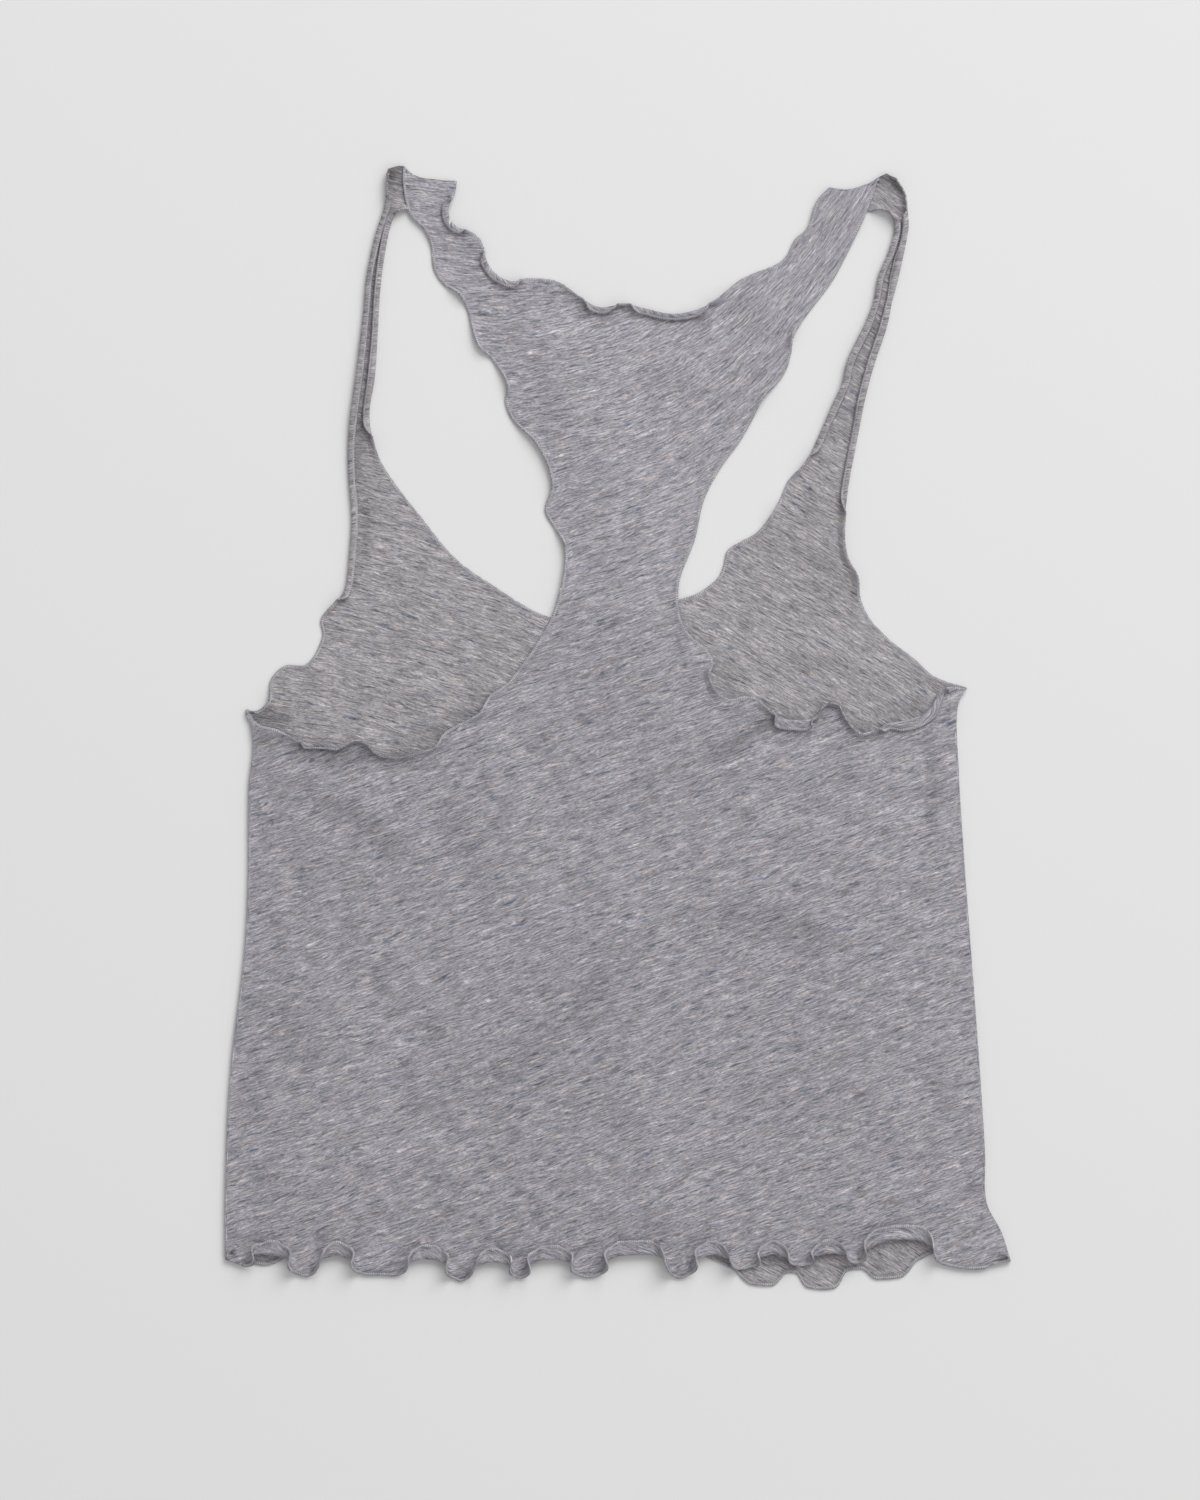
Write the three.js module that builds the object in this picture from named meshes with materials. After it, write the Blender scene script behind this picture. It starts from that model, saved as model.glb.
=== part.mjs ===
// A racerback tank top in thin jersey, laid flat with its back upwards.
// Millimetres, +X to the right and +Y up the garment as it lies, +Z out of the surface it lies on.
// The whole top is two cut pieces: the back panel, and the front panel with its two long straps.
// Every neck, armhole and hem edge is a narrow rolled edge that curls and ruffles, so each panel is
// a flat field of cloth with a band round it, and the band turns up or rolls over where its edge does.

import * as THREE from "three";

// Driving dimensions
const WALL = 1.0;
const SEAM_GAP = 0.3;
const BACK_LIFT = WALL + SEAM_GAP;

// The back drops from the front onto the floor over this stretch of the racerback, climbs onto the
// front straps again over this stretch of its own straps, and is raised a little along the hem.
const RACERBACK_DROP = { from: 362, to: 392 };
const STRAP_CLIMB = { from: 540, to: 562 };
const HEM_RISE = { height: 0.8, length: 70 };

// The back hem's band sways where it turns over, by this much on a ramp of this length and less on a
// longer one. The fold line arches in under each flip, and the band narrows to this share at the
// neck between a flip and a tab.
const STEEP_RAMP = 9;
const HEM_SWAY = 1.9;
const ROUND_RAMP = 8;
const HEM_ARCH = 1.8;
const NECK_SHARE = 0.8;

// How finely the cloth is divided
const FIELD_PITCH = 30;
const FIELD_CLEARANCE = 12;
const EDGE_STEP = 9.5;
const HEM_STEP = 3.3;
const SEAM_STEP = 15;
const BAND_ROWS = 5;
const NORMAL_REACH = 8;
const FAR = 1e4;

// How a band lies: its width, how far it turns up and over (degrees), and the radius of the turn.
const LIE = {
  seam: { width: 2, turn: 0, radius: 1.3 },
  flat: { width: 5, turn: 0, radius: 1.3 },
  wavy: { width: 5, turn: 40, radius: 1.3 },
  lip: { width: 5.6, turn: 176, radius: 1.2 },
  roll: { width: 8, turn: 262, radius: 1.75 },
  slim: { width: 6.4, turn: 262, radius: 1.4 },
  tab: { width: 10.5, turn: 0, radius: 1.4 },
  flip: { width: 11, turn: 174, radius: 1.4 },
  short: { width: 5.5, turn: 0, radius: 1.4 },
};

// Each edge is a table with a row per bend of the edge: x, y and the lie of the band there.
// The rows give the outline that is seen from above, except on a hem, where they give the line
// that the ruffled band starts from.
const LEFT_SEAM = [
  [-194, 297, "seam"],
  [-190.5, 287, "seam"],
  [-190, 275, "seam"],
  [-192, 258, "seam"],
  [-192.5, 205, "seam"],
  [-194.5, 167, "seam"],
  [-201, 113, "seam"],
  [-203.5, 80, "seam"],
  [-205, 32, "seam"],
  [-205, 16, "seam"],
  [-205, -1, "tab"],
];
const RIGHT_SEAM = [
  [219, -0.5, "tab"],
  [214, 15, "seam"],
  [206, 31, "seam"],
  [205, 59, "seam"],
  [201.5, 113, "seam"],
  [197.5, 167, "seam"],
  [193.5, 221, "seam"],
  [191, 262, "seam"],
  [191, 295, "seam"],
  [195.5, 309, "seam"],
];

// Here the third column is how far the tabs reach out from the fold line.
const BACK_HEM = [
  [-197.5, 7, 10.5],
  [-181, 3, 11],
  [-160, 2.6, 11.6],
  [-145, 2.5, 11],
  [-121, 1.6, 9.8],
  [-94, 0.4, 10.5],
  [-78, -0.6, 11],
  [-62, -1.3, 10.5],
  [-46, -0.5, 10.5],
  [-30, 0.2, 10.5],
  [-9, 1.2, 10.8],
  [16, 2.8, 11],
  [40, 2.8, 12.8],
  [58, 2.8, 11],
  [75, 3, 8],
  [90, 3.2, 7.5],
  [104, 3.2, 6.5],
  [121, 3.6, 7.5],
  [134, 5.6, 8.5],
  [158, 11, 10.5],
  [178, 9.5, 11],
  [197, 6, 11],
  [211.5, 7.5, 11],
];
// The stretches of the back hem that are flipped up onto the right side: where each starts, over how
// long a ramp, and where and how it ends.
const BACK_HEM_FLIPS = [
  { from: -189.5, fromRamp: 8, to: -170, toRamp: 9 },
  { from: -153, fromRamp: 14, to: -136, toRamp: 9 },
  { from: -106, fromRamp: 11, to: -85, toRamp: 9 },
  { from: -70, fromRamp: 13, to: -51, toRamp: 9 },
  { from: -41, fromRamp: 9, to: -18, toRamp: 9 },
  { from: 0.5, fromRamp: 9, to: 32, toRamp: 13 },
  { from: 49, fromRamp: 9, to: 67, toRamp: 13 },
  { from: 83, fromRamp: 9, to: 99, toRamp: 11 },
  { from: 112, fromRamp: 9, to: 130, toRamp: 11 },
  { from: 140, fromRamp: 10, to: 177, toRamp: 13 },
];
const BACK_RIGHT_ARMHOLE = [
  [195.5, 309, "seam"],
  [185, 309, "flat"],
  [178, 302.5, "flat"],
  [171, 295.5, "flat"],
  [162.5, 293, "flat"],
  [154, 286.5, "flat"],
  [140, 282.5, "wavy"],
  [129.5, 291, "flat"],
  [123, 300.5, "flat"],
  [113.5, 294, "wavy"],
  [110, 288, "lip"],
  [96, 288, "lip"],
  [90, 294, "wavy"],
  [83.5, 303, "flat"],
  [72.5, 304, "flat"],
  [64, 303.5, "flat"],
  [57.5, 310.5, "wavy"],
  [56.5, 320, "flat"],
  [57, 327, "flat"],
  [44, 340, "flat"],
  [40, 350.5, "flat"],
  [39.5, 358, "flat"],
  [40.5, 368, "flat"],
  [48.5, 389, "flat"],
  [53.5, 410.5, "flat"],
  [62, 427, "flat"],
  [73.5, 443, "flat"],
  [79.5, 453.5, "flat"],
  [85, 464.5, "wavy"],
  [96.5, 478, "flat"],
  [100.5, 489, "flat"],
  [101.5, 498, "wavy"],
  [107, 507.5, "flat"],
  [123, 529, "flat"],
  [134.5, 551, "flat"],
  [143, 570, "flat"],
  [147.5, 584, "seam"],
];
const BACK_RIGHT_SHOULDER = [
  [147.5, 584, "seam"],
  [141.5, 581, "seam"],
  [131, 578, "seam"],
  [121, 579, "seam"],
];
const BACK_NECK = [
  [121, 579, "seam"],
  [114.5, 572, "flat"],
  [109, 557, "flat"],
  [102.5, 551, "flat"],
  [96, 540, "flat"],
  [73.5, 529.5, "flat"],
  [60, 519, "lip"],
  [47.5, 512.5, "lip"],
  [35, 511.5, "lip"],
  [19.5, 514.5, "lip"],
  [9, 515, "lip"],
  [-3, 514.5, "lip"],
  [-14.5, 520.5, "wavy"],
  [-25, 528, "flat"],
  [-35, 529.5, "flat"],
  [-46.5, 528.5, "lip"],
  [-54.5, 532.5, "lip"],
  [-62, 540.5, "flat"],
  [-65, 548.5, "flat"],
  [-71.5, 555.5, "flat"],
  [-79, 559.5, "lip"],
  [-83, 568.5, "lip"],
  [-80, 582.5, "seam"],
];
const BACK_LEFT_SHOULDER = [
  [-80, 582.5, "seam"],
  [-95, 583.5, "seam"],
  [-103.5, 586, "seam"],
  [-109, 591, "seam"],
];
const BACK_LEFT_ARMHOLE = [
  [-109, 591, "seam"],
  [-109, 580, "flat"],
  [-105.5, 564.5, "flat"],
  [-97.5, 556, "flat"],
  [-94, 547.5, "flat"],
  [-92.5, 535, "flat"],
  [-87, 526.5, "flat"],
  [-79, 521.5, "wavy"],
  [-74.5, 513, "flat"],
  [-68.5, 493.5, "wavy"],
  [-61, 486, "flat"],
  [-52.5, 471.5, "wavy"],
  [-54, 464.5, "flat"],
  [-50, 453.5, "flat"],
  [-39, 443, "wavy"],
  [-32, 431.5, "wavy"],
  [-28.5, 418, "wavy"],
  [-32.5, 405, "flat"],
  [-28, 396, "flat"],
  [-22, 386, "wavy"],
  [-22.5, 369.5, "wavy"],
  [-29, 347, "flat"],
  [-35, 336, "flat"],
  [-52.5, 312, "flat"],
  [-62.5, 304.5, "flat"],
  [-68.5, 295, "wavy"],
  [-87.5, 283.5, "flat"],
  [-95, 274.5, "wavy"],
  [-114.5, 270, "wavy"],
  [-124.5, 274, "flat"],
  [-132, 281, "flat"],
  [-140, 278.5, "lip"],
  [-151, 280, "lip"],
  [-163, 279.5, "lip"],
  [-171, 284.5, "flat"],
  [-179, 287.5, "flat"],
  [-188, 290.5, "seam"],
  [-194, 297, "seam"],
];

const FRONT_HEM = [
  [-198, 12, "tab"],
  [-184, 7.5, "tab"],
  [-166, 10, "short"],
  [-148, 11, "short"],
  [-122, 10, "short"],
  [-94, 9, "short"],
  [-70, 8, "short"],
  [-45, 8, "short"],
  [-20, 8.5, "short"],
  [10, 9, "short"],
  [35, 9, "short"],
  [58, 6, "short"],
  [70, 0.5, "short"],
  [81, -3, "tab"],
  [89, -3.5, "tab"],
  [98, -1.5, "short"],
  [104, -1.8, "short"],
  [112, -4.8, "tab"],
  [121, -5.2, "tab"],
  [129, -0.8, "short"],
  [138, 0.5, "short"],
  [147, 0, "tab"],
  [157, 0.8, "tab"],
  [167, 5, "short"],
  [175, 8.5, "short"],
  [195, 10, "tab"],
  [212, 9, "tab"],
];
const FRONT_RIGHT_ARMHOLE = [
  [195.5, 309, "seam"],
  [187, 311.5, "flat"],
  [177, 315.5, "flat"],
  [167.5, 324, "flat"],
  [153.5, 335, "flat"],
  [142.5, 347, "flat"],
  [138, 357, "flat"],
  [136.5, 369, "wavy"],
  [131.5, 378, "lip"],
  [129.5, 387, "lip"],
  [129.5, 398, "lip"],
  [131.5, 417.5, "lip"],
  [136, 441.5, "lip"],
  [140.5, 464.5, "roll"],
  [145.5, 483.5, "roll"],
  [152.5, 504.5, "roll"],
  [155, 517, "slim"],
  [160.5, 539, "slim"],
  [164, 557.5, "slim"],
  [163, 572.5, "slim"],
  [159, 581.5, "wavy"],
  [152, 586.5, "seam"],
];
const FRONT_RIGHT_SHOULDER = [
  [152, 586.5, "seam"],
  [147, 583.5, "seam"],
  [141.5, 580.5, "seam"],
  [130, 577.5, "seam"],
];
const FRONT_NECK = [
  [130, 577.5, "seam"],
  [134, 570, "flat"],
  [143.5, 566, "flat"],
  [150, 566.5, "wavy"],
  [155, 562.5, "slim"],
  [156, 557, "slim"],
  [153, 545, "slim"],
  [147.5, 532, "slim"],
  [144.5, 517, "slim"],
  [140, 505.5, "roll"],
  [130.5, 485.5, "roll"],
  [127.5, 473, "roll"],
  [122.5, 462, "roll"],
  [114.5, 443.5, "lip"],
  [108, 430.5, "wavy"],
  [99, 421, "flat"],
  [95, 412, "flat"],
  [91, 404, "wavy"],
  [81.5, 392.5, "flat"],
  [72.5, 387.5, "flat"],
  [66, 383, "flat"],
  [64, 375, "flat"],
  [61, 368.5, "flat"],
  [50, 360, "flat"],
  [38, 356, "flat"],
  [0, 344.5, "flat"],
  [-30, 347, "flat"],
  [-61, 364.5, "flat"],
  [-81, 379, "flat"],
  [-100, 402, "flat"],
  [-108, 412, "lip"],
  [-115, 421.5, "lip"],
  [-121, 431, "lip"],
  [-124.5, 440.5, "lip"],
  [-127, 456, "roll"],
  [-124, 477, "roll"],
  [-122.5, 501, "slim"],
  [-121, 525, "slim"],
  [-118, 547, "slim"],
  [-115, 560, "slim"],
  [-112, 565, "wavy"],
  [-106, 565, "flat"],
  [-95, 568.5, "flat"],
  [-88, 583, "seam"],
];
const FRONT_LEFT_SHOULDER = [
  [-88, 583, "seam"],
  [-103.5, 585.5, "seam"],
  [-109.5, 590.5, "seam"],
  [-117, 589, "seam"],
];
const FRONT_LEFT_ARMHOLE = [
  [-117, 589, "seam"],
  [-118, 583, "wavy"],
  [-119, 571, "slim"],
  [-124, 554, "slim"],
  [-129, 530.5, "slim"],
  [-130.5, 513, "slim"],
  [-134.5, 480, "roll"],
  [-138, 454, "roll"],
  [-139, 437, "lip"],
  [-138.5, 421, "lip"],
  [-137, 400.5, "lip"],
  [-138, 384, "lip"],
  [-141, 361.5, "lip"],
  [-146, 355, "wavy"],
  [-153.5, 346, "flat"],
  [-152.5, 337.5, "flat"],
  [-158, 325, "flat"],
  [-163, 321, "flat"],
  [-172.5, 321, "flat"],
  [-180.5, 313.5, "flat"],
  [-181.5, 302, "wavy"],
  [-188, 296.5, "flat"],
  [-194, 297, "seam"],
];

const radians = THREE.MathUtils.degToRad;
const mix = THREE.MathUtils.lerp;
const smooth = THREE.MathUtils.smoothstep;

function mixLie(from, to, share) {
  const eased = smooth(share, 0, 1);
  return {
    width: mix(from.width, to.width, eased),
    turn: mix(from.turn, to.turn, eased),
    radius: mix(from.radius, to.radius, eased),
    sway: 0,
    inset: 0,
  };
}

// The lie of a hem band at x: a tab, a flip, or part of the way over. On both sides of each turn the
// band fans out along the hem, so that a tab and a flip are both wider at their edge than at their neck.
function hemLie(x, tabWidth, flips) {
  let share = 0;
  let sway = 0;
  let arch = 0;
  let near = 0;
  for (const { from, fromRamp, to, toRamp } of flips) {
    const rise = smooth(x, from - fromRamp / 2, from + fromRamp / 2);
    const fall = smooth(x, to - toRamp / 2, to + toRamp / 2);
    share = Math.max(share, rise * (1 - fall));
    sway += HEM_SWAY * (STEEP_RAMP / fromRamp) ** 3 * Math.sin(2 * Math.PI * rise);
    sway += HEM_SWAY * (STEEP_RAMP / toRamp) ** 3 * Math.sin(2 * Math.PI * fall);
    const half = Math.min(ROUND_RAMP, (to - from) / 2);
    arch = Math.max(arch, smooth(x, from, from + half) * (1 - smooth(x, to - half, to)));
    near = Math.max(near, smooth(x, from - ROUND_RAMP, from) * (1 - smooth(x, to, to + ROUND_RAMP)));
  }
  const lie = mixLie({ ...LIE.tab, width: tabWidth }, LIE.flip, share);
  const full = Math.max(arch, 1 - near);
  return { ...lie, width: lie.width * mix(NECK_SHARE, 1, full), sway, inset: HEM_ARCH * arch };
}

// Where a point of the band lies: how far out from the fold line, and how far up from the cloth.
function bandPoint(lie, along) {
  const turn = radians(lie.turn);
  const bend = Math.min(along, lie.radius * turn);
  const angle = turn > 0 ? bend / lie.radius : 0;
  const flap = along - bend;
  return {
    out: lie.radius * Math.sin(angle) + flap * Math.cos(angle),
    up: lie.radius * (1 - Math.cos(angle)) + flap * Math.sin(angle),
  };
}

// How far a band reaches out from its fold line, to its edge or to the outside of its bend.
function bandReach(lie) {
  const bend = Math.min(radians(lie.turn), Math.PI / 2);
  const edge = bandPoint(lie, lie.width).out;
  const outside = lie.radius * Math.sin(bend) + (WALL / 2) * Math.sin(bend);
  return Math.max(edge, outside);
}

function sampleEdge({ rows, step, flips, isHem }) {
  const knots = rows.map(([x, y]) => new THREE.Vector3(x, y, 0));
  const curve = new THREE.CatmullRomCurve3(knots, false, "centripetal");
  const count = Math.max(2, Math.round(curve.getLength() / step));
  const samples = [];
  for (let i = 0; i < count; i += 1) {
    const t = curve.getUtoTmapping(i / count);
    const place = Math.min(t * (rows.length - 1), rows.length - 1.001);
    const row = Math.floor(place);
    const { x, y } = curve.getPoint(t);
    const rowLie = () => mixLie(LIE[rows[row][2]], LIE[rows[row + 1][2]], place - row);
    const tabWidth = () => mix(rows[row][2], rows[row + 1][2], place - row);
    samples.push({ x, y, lie: flips ? hemLie(x, tabWidth(), flips) : rowLie(), isHem });
  }
  return samples;
}

// The outward direction at each sample, averaged over a short stretch of the outline.
function outwardNormals(samples) {
  const count = samples.length;
  const segments = samples.map((sample, i) => {
    const next = samples[(i + 1) % count];
    const length = Math.hypot(next.x - sample.x, next.y - sample.y);
    return { x: next.y - sample.y, y: sample.x - next.x, length };
  });
  return samples.map((sample, i) => {
    const sum = new THREE.Vector2();
    for (const way of [1, -1]) {
      let gone = 0;
      let at = way === 1 ? i : i - 1;
      while (gone < NORMAL_REACH) {
        const segment = segments[(at + count) % count];
        const used = Math.min(segment.length, NORMAL_REACH - gone);
        sum.x += (segment.x * used) / segment.length;
        sum.y += (segment.y * used) / segment.length;
        gone += segment.length;
        at += way;
      }
    }
    return sum.normalize();
  });
}

function isInside(x, y, loop) {
  let inside = false;
  for (let i = 0, j = loop.length - 1; i < loop.length; j = i, i += 1) {
    const [a, b] = [loop[i], loop[j]];
    const crosses = a.y > y !== b.y > y;
    if (crosses && x < ((b.x - a.x) * (y - a.y)) / (b.y - a.y) + a.x) inside = !inside;
  }
  return inside;
}

// Delaunay triangles over a set of points, made by adding one point after another.
function triangulate(points) {
  const all = [...points, { x: -FAR, y: -FAR }, { x: FAR, y: -FAR }, { x: 0, y: FAR }];
  const circleHolds = (corners, point) => {
    const [a, b, c] = corners.map((i) => {
      const [x, y] = [all[i].x - point.x, all[i].y - point.y];
      return { x, y, square: x * x + y * y };
    });
    const area =
      a.square * (b.x * c.y - c.x * b.y) -
      b.square * (a.x * c.y - c.x * a.y) +
      c.square * (a.x * b.y - b.x * a.y);
    return area > 0;
  };
  let triangles = [[points.length, points.length + 1, points.length + 2]];
  points.forEach((point, index) => {
    const hull = new Map();
    const kept = [];
    for (const corners of triangles) {
      if (!circleHolds(corners, point)) {
        kept.push(corners);
        continue;
      }
      corners.forEach((from, i) => {
        const to = corners[(i + 1) % 3];
        if (!hull.delete(`${to} ${from}`)) hull.set(`${from} ${to}`, [from, to, index]);
      });
    }
    triangles = [...kept, ...hull.values()];
  });
  return triangles.filter((corners) => corners.every((i) => i < points.length));
}

function distanceToLoop(point, loop) {
  return loop.reduce((nearest, from, i) => {
    const side = loop[(i + 1) % loop.length].clone().sub(from);
    const share = THREE.MathUtils.clamp(point.clone().sub(from).dot(side) / side.lengthSq(), 0, 1);
    return Math.min(nearest, side.multiplyScalar(share).add(from).distanceTo(point));
  }, Infinity);
}

// The points of the flat field: a staggered grid, clear of the fold line round it.
function fieldPoints(loop) {
  const points = [];
  const rowPitch = FIELD_PITCH * Math.sin(Math.PI / 3);
  const box = new THREE.Box2().setFromPoints(loop);
  for (let row = 0; box.min.y + row * rowPitch < box.max.y; row += 1) {
    const y = box.min.y + row * rowPitch;
    const start = box.min.x + (row % 2) * (FIELD_PITCH / 2);
    for (let x = start; x < box.max.x; x += FIELD_PITCH) {
      const point = new THREE.Vector2(x, y);
      if (isInside(x, y, loop) && distanceToLoop(point, loop) > FIELD_CLEARANCE) points.push(point);
    }
  }
  return points;
}

// The mid-surface of a panel: the triangulated field, then the band, row by row out to the edge.
function clothSurface(edges, level) {
  const samples = edges.flatMap(sampleEdge);
  const normals = outwardNormals(samples);
  const loop = samples.map(({ x, y, lie, isHem }, i) => {
    const inset = isHem ? lie.inset : bandReach(lie);
    return new THREE.Vector2(x, y).addScaledVector(normals[i], -inset);
  });
  const count = loop.length;
  const flat = [...loop, ...fieldPoints(loop)];
  const vertices = flat.map(({ x, y }) => new THREE.Vector3(x, y, level(y)));
  const follows = (from, to) => from < count && to === (from + 1) % count;
  const faces = triangulate(flat).filter((corners) => {
    const sides = corners.map((from, i) => [from, corners[(i + 1) % 3]]);
    if (sides.some(([from, to]) => follows(from, to))) return true;
    if (sides.some(([from, to]) => follows(to, from))) return false;
    const x = corners.reduce((sum, i) => sum + flat[i].x, 0) / 3;
    const y = corners.reduce((sum, i) => sum + flat[i].y, 0) / 3;
    return isInside(x, y, loop);
  });
  let inner = loop.map((_, i) => i);
  for (let row = 1; row <= BAND_ROWS; row += 1) {
    const share = row / BAND_ROWS;
    const outer = loop.map((base, i) => {
      const { lie } = samples[i];
      const { out, up } = bandPoint(lie, lie.width * share);
      const { x, y } = normals[i];
      const sway = lie.sway * share ** 2;
      const z = level(base.y) + up;
      vertices.push(new THREE.Vector3(base.x + x * out - y * sway, base.y + y * out + x * sway, z));
      return vertices.length - 1;
    });
    for (let i = 0; i < count; i += 1) {
      const next = (i + 1) % count;
      faces.push([inner[i], outer[i], outer[next]], [inner[i], outer[next], inner[next]]);
    }
    inner = outer;
  }
  return { vertices, faces, rim: inner };
}

// A closed wall of even thickness round a mid-surface.
function clothSolid({ vertices, faces, rim }) {
  const count = vertices.length;
  const normals = vertices.map(() => new THREE.Vector3());
  for (const [a, b, c] of faces) {
    const ab = vertices[b].clone().sub(vertices[a]);
    const ac = vertices[c].clone().sub(vertices[a]);
    const normal = ab.cross(ac);
    for (const corner of [a, b, c]) normals[corner].add(normal);
  }
  const side = (sign) =>
    vertices.map((v, i) => v.clone().addScaledVector(normals[i].clone().normalize(), (sign * WALL) / 2));
  const positions = [...side(1), ...side(-1)].flatMap((v) => v.toArray());
  const index = faces.flatMap(([a, b, c]) => [a, b, c, a + count, c + count, b + count]);
  rim.forEach((from, i) => {
    const to = rim[(i + 1) % rim.length];
    index.push(from, from + count, to + count, from, to + count, to);
  });
  const geometry = new THREE.BufferGeometry();
  geometry.setAttribute("position", new THREE.Float32BufferAttribute(positions, 3));
  geometry.setIndex(index);
  geometry.computeVertexNormals();
  return geometry;
}

// The back panel lies on the front where the front is under it, and on the floor where it isn't.
function backLevel(y) {
  const overTorso = 1 - smooth(y, RACERBACK_DROP.from, RACERBACK_DROP.to);
  const overStrap = smooth(y, STRAP_CLIMB.from, STRAP_CLIMB.to);
  const overHem = 1 - smooth(y, 0, HEM_RISE.length);
  return WALL / 2 + BACK_LIFT * Math.max(overTorso, overStrap) + HEM_RISE.height * overHem;
}

const seamEdge = (rows) => ({ rows, step: SEAM_STEP });
const rolledEdge = (rows) => ({ rows, step: EDGE_STEP });

function makeBackPanel() {
  return clothSolid(
    clothSurface(
      [
        { rows: BACK_HEM, step: HEM_STEP, flips: BACK_HEM_FLIPS, isHem: true },
        seamEdge(RIGHT_SEAM),
        rolledEdge(BACK_RIGHT_ARMHOLE),
        rolledEdge(BACK_RIGHT_SHOULDER),
        rolledEdge(BACK_NECK),
        rolledEdge(BACK_LEFT_SHOULDER),
        rolledEdge(BACK_LEFT_ARMHOLE),
        seamEdge(LEFT_SEAM),
      ],
      backLevel,
    ),
  );
}

function makeFrontPanel() {
  return clothSolid(
    clothSurface(
      [
        { rows: FRONT_HEM, step: HEM_STEP, isHem: true },
        seamEdge(RIGHT_SEAM),
        rolledEdge(FRONT_RIGHT_ARMHOLE),
        rolledEdge(FRONT_RIGHT_SHOULDER),
        rolledEdge(FRONT_NECK),
        rolledEdge(FRONT_LEFT_SHOULDER),
        rolledEdge(FRONT_LEFT_ARMHOLE),
        seamEdge(LEFT_SEAM),
      ],
      () => WALL / 2,
    ),
  );
}

const JERSEY = { color: 0x98969b, roughness: 0.95, metalness: 0 };

function clothMesh(name, geometry) {
  const mesh = new THREE.Mesh(geometry, new THREE.MeshStandardMaterial(JERSEY));
  mesh.name = name;
  return mesh;
}

const tankTop = new THREE.Group();
tankTop.add(clothMesh("front_panel", makeFrontPanel()));
tankTop.add(clothMesh("back_panel", makeBackPanel()));

// The origin is at the middle of the underside.
const bounds = new THREE.Box3().setFromObject(tankTop);
const middle = bounds.getCenter(new THREE.Vector3());
tankTop.position.set(-middle.x, -middle.y, -bounds.min.z);

export default tankTop;
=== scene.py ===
"""A racerback tank top in grey heather jersey, laid flat with its back upwards."""

import bpy
import numpy as np
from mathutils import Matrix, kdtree
from mathutils.geometry import delaunay_2d_cdt


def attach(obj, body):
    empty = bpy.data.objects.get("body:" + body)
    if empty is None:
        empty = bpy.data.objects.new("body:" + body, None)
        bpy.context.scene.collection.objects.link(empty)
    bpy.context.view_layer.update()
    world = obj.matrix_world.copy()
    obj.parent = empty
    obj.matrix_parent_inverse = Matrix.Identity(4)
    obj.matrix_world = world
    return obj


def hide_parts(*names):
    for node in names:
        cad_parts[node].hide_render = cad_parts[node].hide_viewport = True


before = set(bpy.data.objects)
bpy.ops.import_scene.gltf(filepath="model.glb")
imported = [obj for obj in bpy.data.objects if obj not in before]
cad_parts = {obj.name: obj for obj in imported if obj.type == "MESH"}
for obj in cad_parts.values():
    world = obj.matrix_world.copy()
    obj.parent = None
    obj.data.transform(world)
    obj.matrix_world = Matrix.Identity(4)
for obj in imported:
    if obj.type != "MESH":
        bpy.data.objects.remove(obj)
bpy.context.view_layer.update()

MM = 0.001
# How many millimetres a unit of uv is.
UV_UNIT = 100

# The tables below are in millimetres, measured from this point of the frame.
TABLE_ORIGIN = np.array([-6.98, -287.55, 0.0])

# Camera: straight above the middle of the picture, in metres.
PHOTO_HEIGHT = 0.810
PHOTO_MIDDLE = (-0.0097, -0.0122)
CAMERA_HEIGHT = 3.2
SENSOR = 36.0

camera_data = bpy.data.cameras.new("camera")
camera_data.sensor_width = SENSOR
camera_data.lens = SENSOR * CAMERA_HEIGHT / PHOTO_HEIGHT
camera_data.clip_end = 20
camera = bpy.data.objects.new("camera", camera_data)
camera.location = (*PHOTO_MIDDLE, CAMERA_HEIGHT)
bpy.context.collection.objects.link(camera)
bpy.context.scene.camera = camera

# Studio, in metres and watts: the floor, and where each light is, how wide, and how strong.
FLOOR_HALF = 4.0
FLOOR_DROP = 0.0002
LIGHTS = {
    "key": ((2.1, 3.9, 3.9), 3.9, 238),
    "fill": ((2.6, -2.3, 3.8), 4.5, 26),
}
WORLD_LIGHT = 0.43

# Cloth, in millimetres: how thick it is, how high the front's middle lies, how much higher the back
# lies where the front is under it, and how loosely the back lies.
JERSEY = 0.75
FRONT_LEVEL = 0.5
BACK_LIFT = 1.3
BACK_EASE = 2.0

# The cloth comes down towards its edge: over this distance, and to this share of its ease.
EDGE_EASE = (0, 26)
FRONT_EDGE_SHARE = 0.25
BACK_EDGE_SHARE = 0.15

# Above this stretch the back lies there alone, and it is painted lighter there: painted light for the pale
# surface showing through it a little.
ONE_LAYER = (335, 385)

# The front's neck under the back: its lowest point, its curve, and where the back comes down past it.
FRONT_NECK_LOW = 345
FRONT_NECK_CURVE = 0.0055
NECK_RAMP = (1, 22)

# Where the back climbs onto the front's straps, and where its own straps lie less loosely, by what
# share. Then how high the back rises towards its hem, and over what distance.
STRAP_CLIMB = (540, 562)
STRAP_CALM = (480, 560)
CALM_SHARE = 0.8
HEM_RISE = (0.3, 70)

# Waves of the laid cloth: how high, how long along x and along y, and where they start.
WAVES = [
    (0.35, 37, 61, 0.7),
    (0.28, 23, -41, 2.1),
    (0.16, 14, 19, 4.0),
]
FRONT_WAVE_SHARE = 0.5
SOFTNESS = 0.15

# How far a crease bows, and over which shares of its length it starts and ends.
CREASE_BOW = 0.06
CREASE_START = np.array([-0.15, 0.3])
CREASE_END = np.array([0.6, 1.15])

# The back hem's ruffles. Where the band turns over, it sways by this much on a ramp of this length,
# and less on a longer one.
HEM_SWAY = 2.1
STEEP_RAMP = 9
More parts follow.
